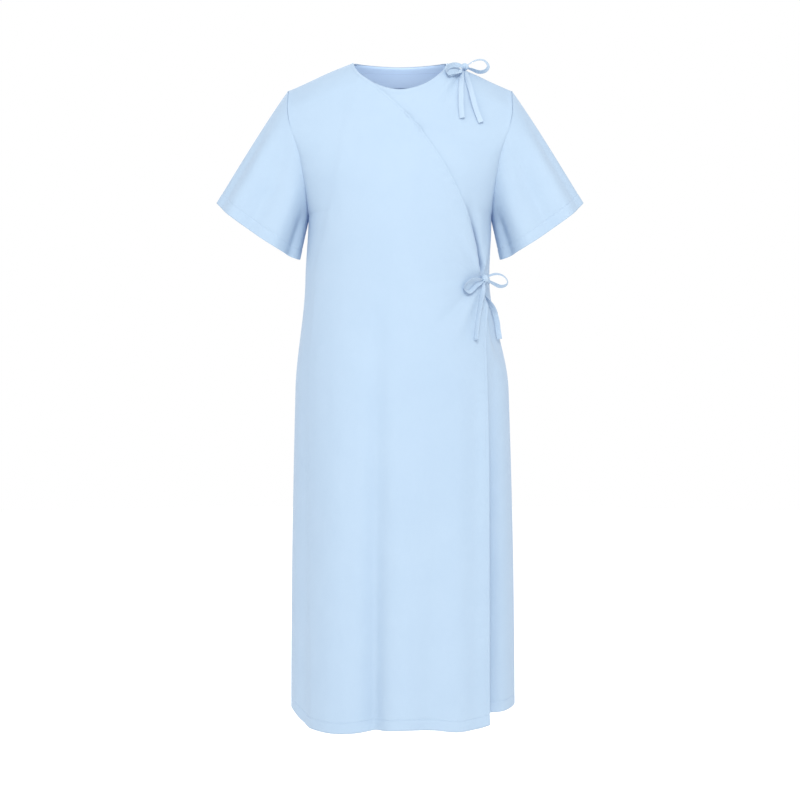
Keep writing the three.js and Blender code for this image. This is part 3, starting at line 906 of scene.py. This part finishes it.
# The knot's seat on the cloth: its centre and its own left, up and out directions.
def seatAt(x, z, lift):
    turn, drop = findOnFront(x, z)
    point = bodySurface(turn, drop, -1)
    step = 0.01
    acrossWay = plainBody(turn + step, drop, -1) - plainBody(turn - step, drop, -1)
    downWay = plainBody(turn, drop + 0.002, -1) - plainBody(turn, np.maximum(drop - 0.002, 0.0001), -1)
    normal = unit(np.cross(downWay, acrossWay))
    if (normal[1] > 0 and drop > cut["roll"]) or (normal[2] < 0 and drop <= cut["roll"]):
        normal = -normal
    tangent = unit(np.array([-normal[1], normal[0], 0]))
    upward = np.cross(normal, tangent)
    return point + normal * lift, tangent, upward, normal


# The ribbon's across direction along a path: straight out of its seat, turned over by tilt.
def tilted(path, outward, tilt):
    inward = np.cross(unit(np.gradient(path, axis=0)), outward)
    turn = tilt[0] + (tilt[1] - tilt[0]) * np.linspace(0, 1, len(path))
    return outward * np.cos(turn)[:, None] + inward * np.sin(turn)[:, None]


# A loop through (along, up, out) places in the seat's own directions; tilt shows the ribbon's face.
def bowLoop(name, seat, reach, plan):
    centre, tangent, upward, normal = seat
    a = unit(tangent * reach[0] + normal * reach[1] + upward * reach[2])
    b = unit(upward - a * upward.dot(a))
    c = np.cross(a, b)
    if c.dot(normal) < 0:
        c = -c
    spots = catmull(plan["places"], 72)
    path = centre + spots[:, :1] * a + spots[:, 1:2] * b + spots[:, 2:3] * c
    return ribbon(name, path, tilted(path, c, plan["tilt"]), plan["width"], narrowAt=(0.0, 1.0))[0]


# A loop that lies on the cloth, through (x, z, height over the cloth) places.
def laidLoop(name, plan):
    spots = catmull(plan["places"], 84)
    path = onFront(spots[:, 0], spots[:, 1], spots[:, 2])
    turn, drop = findOnFront(spots[:, 0], spots[:, 1])
    normal = surfaceNormal(turn, np.maximum(drop, 0.002), -1)
    return ribbon(name, path, tilted(path, normal, plan["tilt"]), plan["width"], narrowAt=(0.0, 1.0))[0]


def bowTail(name, plan):
    t = np.linspace(0, 1, 48)
    (topX, topZ), (footX, footZ) = plan["top"], plan["foot"]
    x = topX + (footX - topX) * t + plan["bow"] * np.sin(math.pi * t) + plan["wave"] * np.sin(math.tau * t)
    z = topZ + (footZ - topZ) * t
    lift = plan["lift"] + tiePlan["tailArch"] * np.sin(math.pi * t) + plan["flick"] * t**3
    path = onFront(x, z, lift)
    turn, drop = findOnFront(x, z)
    normal = surfaceNormal(turn, np.maximum(drop, 0.001), -1)
    flat = np.stack([-normal[:, 1], normal[:, 0], np.zeros(len(t))], axis=-1)
    twist = plan["turned"] + plan["twist"] * (1 - smoothStep(0, 0.35, t))
    twist = twist + plan["endTwist"] * smoothStep(0.5, 1, t)
    across = flat * np.cos(twist)[:, None] + normal * np.sin(twist)[:, None]
    piece, length = ribbon(name, path, across, tiePlan["width"], narrowAt=(0.0,))
    return piece, path, length


def knot(name, seat, squash=(1.12, 0.98, 0.86)):
    centre, tangent, upward, normal = seat
    bm = bmesh.new()
    bmesh.ops.create_uvsphere(bm, u_segments=56, v_segments=36, radius=1.0)
    for vert in bm.verts:
        p, q, r = vert.co
        slant = p + 0.22 * q
        band = 1 + 0.13 * float(1 - smoothStep(0.40, 0.50, abs(slant)))
        gathers = 1 + 0.055 * math.sin(15 * q + 2.4 * p) * float(smoothStep(0.40, 0.60, abs(slant)))
        crease = 1 - 0.16 * math.exp(-(((abs(slant) - 0.54) / 0.07) ** 2))
        wound = 1 + 0.03 * math.sin(9 * slant + 1.5)
        size = tiePlan["knotRadius"] * band * gathers * crease * wound
        local = tangent * (p * squash[0]) + upward * (q * squash[1]) + normal * (r * squash[2])
        vert.co = Vector(centre + local * size)
    bmesh.ops.recalc_face_normals(bm, faces=bm.faces)
    return pieceFrom(bm, name)


waistBow = {
    "seat": (0.135, -0.374, 0.0092),
    "front": {
        "places": [
            (0.134, -0.3755, 0.0085), (0.1265, -0.3770, 0.0095), (0.1140, -0.3795, 0.0080),
            (0.1050, -0.3855, 0.0062), (0.1022, -0.3925, 0.0056), (0.1085, -0.3975, 0.0056),
            (0.1170, -0.3965, 0.0060), (0.1245, -0.3885, 0.0070), (0.1300, -0.3810, 0.0080),
            (0.1345, -0.3760, 0.0085),
        ],
        "tilt": (0.62, 0.66),
        "width": 0.0086,
    },
    "side": {
        "places": [
            (0.002, 0.001, 0.000), (0.011, 0.007, 0.001), (0.022, 0.0095, 0.001), (0.033, 0.0068, 0.001),
            (0.0405, -0.001, 0.001), (0.038, -0.0080, 0.001), (0.028, -0.0108, 0.000),
            (0.015, -0.0065, 0.000), (0.002, -0.001, 0.000),
        ],
        "tilt": (0.45, 0.65),
        "width": 0.0080,
    },
    "tails": [
        {
            "top": (0.1335, -0.3810), "foot": (0.1215, -0.480), "lift": 0.0074, "bow": -0.0004,
            "wave": 0.0006, "flick": 0.0, "turned": 1.27, "twist": -0.3, "endTwist": 0.05,
        },
        {
            "top": (0.1385, -0.3800), "foot": (0.1690, -0.476), "lift": 0.0068, "bow": 0.0040, "wave": 0.0,
            "flick": 0.0, "turned": 1.10, "twist": -0.3, "endTwist": 0.10,
        },
    ],
}
waistSeat = seatAt(*waistBow["seat"])
waistKnot = knot("waistKnot", waistSeat)
waistLoopFront = laidLoop("waistLoopFront", waistBow["front"])
waistLoopSide = bowLoop("waistLoopSide", waistSeat, (0.75, 0.6, -0.06), waistBow["side"])

neckBow = {
    "seat": (0.108, -0.016, 0.0075),
    "front": {
        "places": [
            (0.1070, -0.0170, 0.0065), (0.1000, -0.0160, 0.0080), (0.0895, -0.0150, 0.0072),
            (0.0800, -0.0190, 0.0060), (0.0770, -0.0275, 0.0056), (0.0810, -0.0360, 0.0056),
            (0.0885, -0.0350, 0.0058), (0.0960, -0.0275, 0.0064), (0.1035, -0.0195, 0.0070),
        ],
        "tilt": (0.62, 0.72),
        "width": 0.0084,
    },
    "side": {
        "places": [
            (0.002, 0.001, 0.000), (0.010, 0.006, 0.001), (0.021, 0.0108, 0.001), (0.033, 0.0095, 0.001),
            (0.0400, 0.000, 0.001), (0.035, -0.0080, 0.001), (0.024, -0.0095, 0.000),
            (0.012, -0.0050, 0.000), (0.002, -0.001, 0.000),
        ],
        "tilt": (0.45, 0.62),
        "width": 0.0080,
    },
    "tails": [
        {
            "top": (0.1040, -0.0215), "foot": (0.1025, -0.1110), "lift": 0.0036, "bow": -0.0016,
            "wave": 0.0008, "flick": 0.0008, "turned": 0.22, "twist": 0.3, "endTwist": 0.2,
        },
        {
            "top": (0.1100, -0.0215), "foot": (0.1340, -0.1175), "lift": 0.0036, "bow": -0.0020,
            "wave": 0.0010, "flick": 0.0010, "turned": 0.22, "twist": 0.1, "endTwist": 0.1,
        },
    ],
}
neckSeat = seatAt(*neckBow["seat"])
neckKnot = knot("neckKnot", neckSeat)
neckLoopFront = laidLoop("neckLoopFront", neckBow["front"])
standing = (neckSeat[0], np.array([1.0, 0.0, 0.0]), np.array([0.0, 0.0, 1.0]), np.array([0.0, -1.0, 0.0]))
neckLoopShoulder = bowLoop("neckLoopShoulder", standing, (1.0, 0.12, 0.0), neckBow["side"])
# Each tail with its path, its length and the body that its far end belongs to.
tails = [
    (*bowTail("waistTailFront", waistBow["tails"][0]), "waist_front_tail"),
    (*bowTail("waistTailSide", waistBow["tails"][1]), "waist_side_tail"),
    (*bowTail("neckTailFront", neckBow["tails"][0]), "neck_front_tail"),
    (*bowTail("neckTailShoulder", neckBow["tails"][1]), "neck_shoulder_tail"),
]
waistTailFront, waistTailSide, neckTailFront, neckTailShoulder = (tail[0] for tail in tails)
print("bow tails:", [round(length, 3) for _, _, length, _ in tails])

innerTie = {"drop": 0.374, "knotTurn": -1.27, "beside": 0.038, "lift": -0.0012, "knotDepth": -0.0063}


def strap(name, first, last, lift):
    turn = np.linspace(first, last, 30)
    points, _ = rowOn(turn, innerTie["drop"], -1, lift)
    return ribbon(name, points, np.tile((0.0, 0.0, 1.0), (30, 1)), tiePlan["width"])[0]


waistSeamTie = strap("waistSeamTie", 1.53, 1.22, clothLayers["single"] + 0.0014)
innerPanelEnd = strap("innerPanelEnd", -1.02, innerTie["knotTurn"] + innerTie["beside"], innerTie["lift"])
innerSeamEnd = strap("innerSeamEnd", innerTie["knotTurn"] - innerTie["beside"], -seamTurn, innerTie["lift"])
innerPoint, innerNormal = rowOn(np.array([innerTie["knotTurn"]]), innerTie["drop"], -1, innerTie["knotDepth"])
innerTangent = unit(np.array([-innerNormal[0][1], innerNormal[0][0], 0.0]))
innerKnot = knot("innerKnot", (innerPoint[0], innerTangent, np.array([0.0, 0.0, 1.0]), innerNormal[0]))
print("inner tie done")


# One weave for every cloth: crossing yarns, slubs along them, and broad soft changes from ironing.
def weaveGroup():
    group = bpy.data.node_groups.new("poplinWeave", "ShaderNodeTree")
    face = group.interface
    for way, label, kind in (
        ("INPUT", "Cloth", "Vector"), ("INPUT", "Place", "Vector"), ("INPUT", "Light Yarn", "Color"),
        ("INPUT", "Dark Yarn", "Color"), ("INPUT", "Yarns", "Float"), ("OUTPUT", "Color", "Color"),
        ("OUTPUT", "Roughness", "Float"), ("OUTPUT", "Weave", "Float"), ("OUTPUT", "Ironing", "Float"),
    ):
        face.new_socket(label, in_out=way, socket_type="NodeSocket" + kind)
    nodes, links = group.nodes, group.links
    source, sink = nodes.new("NodeGroupInput"), nodes.new("NodeGroupOutput")

    def calc(operation, *values):
        node = nodes.new("ShaderNodeMath")
        node.operation = operation
        for value, socket in zip(values, node.inputs):
            if isinstance(value, (int, float)):
                socket.default_value = value
            else:
                links.new(value, socket)
        return node.outputs[0]

    def noise(vector, stretch, scale, detail):
        mapping = nodes.new("ShaderNodeMapping")
        mapping.inputs["Scale"].default_value = stretch
        links.new(vector, mapping.inputs["Vector"])
        node = nodes.new("ShaderNodeTexNoise")
        node.inputs["Scale"].default_value = scale
        node.inputs["Detail"].default_value = detail
        links.new(mapping.outputs[0], node.inputs["Vector"])
        return node.outputs[0]

    cloth, place = source.outputs["Cloth"], source.outputs["Place"]
    parts = nodes.new("ShaderNodeSeparateXYZ")
    links.new(cloth, parts.inputs[0])
    turns = calc("MULTIPLY", source.outputs["Yarns"], math.pi)
    warp = calc("SINE", calc("MULTIPLY", parts.outputs[0], turns))
    weft = calc("SINE", calc("MULTIPLY", parts.outputs[1], turns))
    weave = calc("MULTIPLY", warp, weft)
    slub = calc("ADD", noise(cloth, (70, 1900, 1), 1.0, 2.0), noise(cloth, (1900, 70, 1), 1.0, 2.0))
    mottle = noise(place, (1, 1, 1), 17.0, 3.0)
    broad = noise(place, (1, 1, 0.35), 5.0, 1.0)
    mixBy = calc("MULTIPLY", weave, 0.16)
    for pattern, share in ((slub, 0.45), (mottle, 0.45), (broad, 0.35)):
        mixBy = calc("ADD", mixBy, calc("MULTIPLY", pattern, share))
    mixBy = calc("SUBTRACT", mixBy, 0.35)
    blend = nodes.new("ShaderNodeMix")
    blend.data_type = "RGBA"
    links.new(mixBy, blend.inputs[0])
    links.new(source.outputs["Dark Yarn"], blend.inputs[6])
    links.new(source.outputs["Light Yarn"], blend.inputs[7])
    links.new(blend.outputs[2], sink.inputs["Color"])
    links.new(calc("ADD", calc("MULTIPLY", slub, 0.10), 0.70), sink.inputs["Roughness"])
    links.new(calc("ADD", weave, calc("MULTIPLY", slub, 1.2)), sink.inputs["Weave"])
    long = calc("MULTIPLY", noise(place, (1.6, 1, 0.22), 14.0, 1.0), 0.8)
    links.new(calc("ADD", noise(place, (1, 1, 0.6), 22.0, 1.5), long), sink.inputs["Ironing"])
    return group


poplinWeave = weaveGroup()


def setInputs(node, values):
    for socket, value in values.items():
        node.inputs[socket].default_value = value


# Each finish emits a colour: painted light that lifts the cloth's shade.
finishes = {
    "gownPoplin": {
        "light": (0.388, 0.484, 0.560), "dark": (0.332, 0.430, 0.516), "paintedGlow": (0.006, 0.022, 0.085),
        "yarns": 3000.0, "bump": 0.00009, "ironing": 0.0016, "sheen": 0.10,
    },
    # The facing is the gown's own poplin. Its yarn colours are painted lighter than the gown's to light the
    # shaded inside of the neck, and it has the strongest painted glow.
    "facingPoplinPaintedLight": {
        "light": (0.460, 0.580, 0.735), "dark": (0.410, 0.530, 0.690), "paintedGlow": (0.225, 0.295, 0.380),
        "fade": 0.030, "yarns": 3000.0, "bump": 0.00009, "ironing": 0.0010, "sheen": 0.08,
    },
    "tieRibbon": {
        "light": (0.415, 0.505, 0.575), "dark": (0.340, 0.440, 0.525), "paintedGlow": (0.008, 0.024, 0.085),
        "yarns": 3300.0, "bump": 0.00009, "ironing": 0.0004, "sheen": 0.15,
    },
    "sewingThread": {
        "light": (0.430, 0.515, 0.590), "dark": (0.370, 0.465, 0.545), "paintedGlow": (0.006, 0.022, 0.085),
        "yarns": 5200.0, "bump": 0.00005, "ironing": 0.0, "sheen": 0.20,
    },
}


def clothFinish(name, plan):
    material = bpy.data.materials.new(name)
    material.use_nodes = True
    nodes, links = material.node_tree.nodes, material.node_tree.links
    shader = nodes["Principled BSDF"]
    weave = nodes.new("ShaderNodeGroup")
    weave.node_tree = poplinWeave
    light, dark, paintedGlow = ((*plan[part], 1) for part in ("light", "dark", "paintedGlow"))
    setInputs(weave, {"Light Yarn": light, "Dark Yarn": dark, "Yarns": plan["yarns"]})
    place = nodes.new("ShaderNodeTexCoord")
    soft = nodes.new("ShaderNodeBump")
    setInputs(soft, {"Distance": plan["ironing"]})
    fine = nodes.new("ShaderNodeBump")
    setInputs(fine, {"Distance": plan["bump"], "Strength": 0.5})
    for first, output, second, socket in (
        (place, "UV", weave, "Cloth"), (place, "Object", weave, "Place"), (weave, "Color", shader, "Base Color"),
        (weave, "Roughness", shader, "Roughness"), (weave, "Ironing", soft, "Height"),
        (weave, "Weave", fine, "Height"), (soft, "Normal", fine, "Normal"), (fine, "Normal", shader, "Normal"),
    ):
        links.new(first.outputs[output], second.inputs[socket])
    # Painted light: an emitted glow that stands in for light through thin cloth and lifts the cloth's shade.
    setInputs(shader, {"Emission Color": paintedGlow, "Emission Strength": 1.0, "Specular IOR Level": 0.25})
    setInputs(shader, {"Sheen Weight": plan["sheen"], "Sheen Roughness": 0.45})
    # On a facing the painted glow dims down from the neck edge, which paints shade beneath the front neckline.
    if "fade" in plan:
        down = nodes.new("ShaderNodeSeparateXYZ")
        links.new(place.outputs["UV"], down.inputs[0])
        share = nodes.new("ShaderNodeMapRange")
        setInputs(share, {"From Max": plan["fade"]})
        links.new(down.outputs["Y"], share.inputs["Value"])
        paintedShadeFade = nodes.new("ShaderNodeMix")
        paintedShadeFade.data_type = "RGBA"
        for socket, colour in zip(paintedShadeFade.inputs[6:8], (paintedGlow, (0, 0, 0, 1))):
            socket.default_value = colour
        links.new(share.outputs[0], paintedShadeFade.inputs[0])
        links.new(paintedShadeFade.outputs[2], shader.inputs["Emission Color"])
    return material


made = {name: clothFinish(name, plan) for name, plan in finishes.items()}

gownPieces = [overPanel, underPanel, backPanel, leftSleeve, rightSleeve, gownSeams]
stillTies = [
    waistKnot, waistLoopFront, waistLoopSide, waistSeamTie, neckKnot, neckLoopFront, neckLoopShoulder,
    innerPanelEnd, innerSeamEnd, innerKnot,
]
tiePieces = stillTies + [tail[0] for tail in tails]
threadPieces = [overStitches, bodyStitches, leftSleeveStitches, rightSleeveStitches]
for pieces, finish, slotName in (
    (gownPieces, "gownPoplin", "gown_poplin"),
    ([backFacing, underFacing], "facingPoplinPaintedLight", "facing_poplin"),
    (tiePieces, "tieRibbon", "tie_ribbon"),
    (threadPieces, "sewingThread", "gown_poplin"),
):
    for piece in pieces:
        piece.data.materials.append(made[finish])
print("finishes done")

# What rides on the gown's body. The sleeves, the over panel, its stitches and the tails only have their placing
# baked in.
for piece in (underPanel, backPanel, gownSeams, backFacing, underFacing, bodyStitches, *stillTies):
    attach(piece, "gown")
for side, body, pieces in (
    (1, "left_sleeve", (leftSleeve, leftSleeveStitches)),
    (-1, "right_sleeve", (rightSleeve, rightSleeveStitches)),
):
    for piece in pieces:
        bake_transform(piece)
for piece in (overPanel, overStitches):
    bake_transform(piece)
for piece, path, _, body in tails:
    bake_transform(piece)

for piece, nodesFor in (
    (backPanel, ["back_panel"]),
    (overPanel, ["front_over_panel", "front_over_corner"]),
    (underPanel, ["front_under_panel"]),
    (backFacing, ["back_neck_facing"]),
    (underFacing, ["under_panel_neck_facing"]),
    (leftSleeve, ["sleeve_left"]),
    (rightSleeve, ["sleeve_right"]),
    (waistKnot, ["waist_bow_knot"]),
    (waistLoopFront, ["waist_bow_loop_front"]),
    (waistLoopSide, ["waist_bow_loop_side"]),
    (waistTailFront, ["waist_bow_tail_front"]),
    (waistTailSide, ["waist_bow_tail_side"]),
    (waistSeamTie, ["waist_bow_seam_tie"]),
    (neckKnot, ["neck_bow_knot"]),
    (neckLoopFront, ["neck_bow_loop_front"]),
    (neckLoopShoulder, ["neck_bow_loop_shoulder"]),
    (neckTailFront, ["neck_bow_tail_front"]),
    (neckTailShoulder, ["neck_bow_tail_shoulder"]),
    (innerKnot, ["inner_tie_knot"]),
    (innerPanelEnd, ["inner_tie_panel_end"]),
    (innerSeamEnd, ["inner_tie_seam_end"]),
):
    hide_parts(*nodesFor)

# Floor and light.
studio = {
    "floorZ": -1.45,
    "floorRadius": 9.0,
    "world": 1.0,
    "aim": (0, 0, -0.55),
    "lamps": [("keyLight", 1.1, 82.0, (0.12, -3.2, 1.45)), ("rearFill", 1.8, 62.0, (-0.9, 3.2, 1.3))],
}


def placeLamp(name, size, power, place):
    light = bpy.data.lights.new(name, "AREA")
    light.size = size
    light.energy = power
    lamp = bpy.data.objects.new(name, light)
    lamp.location = place
    lamp.rotation_euler = (Vector(studio["aim"]) - Vector(place)).to_track_quat("-Z", "Y").to_euler()
    bpy.context.scene.collection.objects.link(lamp)


def makeStudio(plan):
    bm = bmesh.new()
    low = Matrix.Translation((0, 0, plan["floorZ"]))
    bmesh.ops.create_circle(bm, cap_ends=True, segments=96, radius=plan["floorRadius"], matrix=low)
    floor = pieceFrom(bm, "studioFloor")
    paper = bpy.data.materials.new("studioPaper")
    paper.use_nodes = True
    white = (1, 1, 1, 1)
    glow = {"Emission Color": white, "Emission Strength": 0.22}
    matt = {"Base Color": (0.85, 0.85, 0.85, 1), "Roughness": 0.9}
    setInputs(paper.node_tree.nodes["Principled BSDF"], {**matt, **glow})
    floor.data.materials.append(paper)
    world = bpy.data.worlds.new("studioWorld")
    world.use_nodes = True
    setInputs(world.node_tree.nodes["Background"], {"Color": white, "Strength": plan["world"]})
    bpy.context.scene.world = world
    for lamp in plan["lamps"]:
        placeLamp(*lamp)
    bpy.context.scene.view_settings.view_transform = "Standard"


makeStudio(studio)
print("studio done")
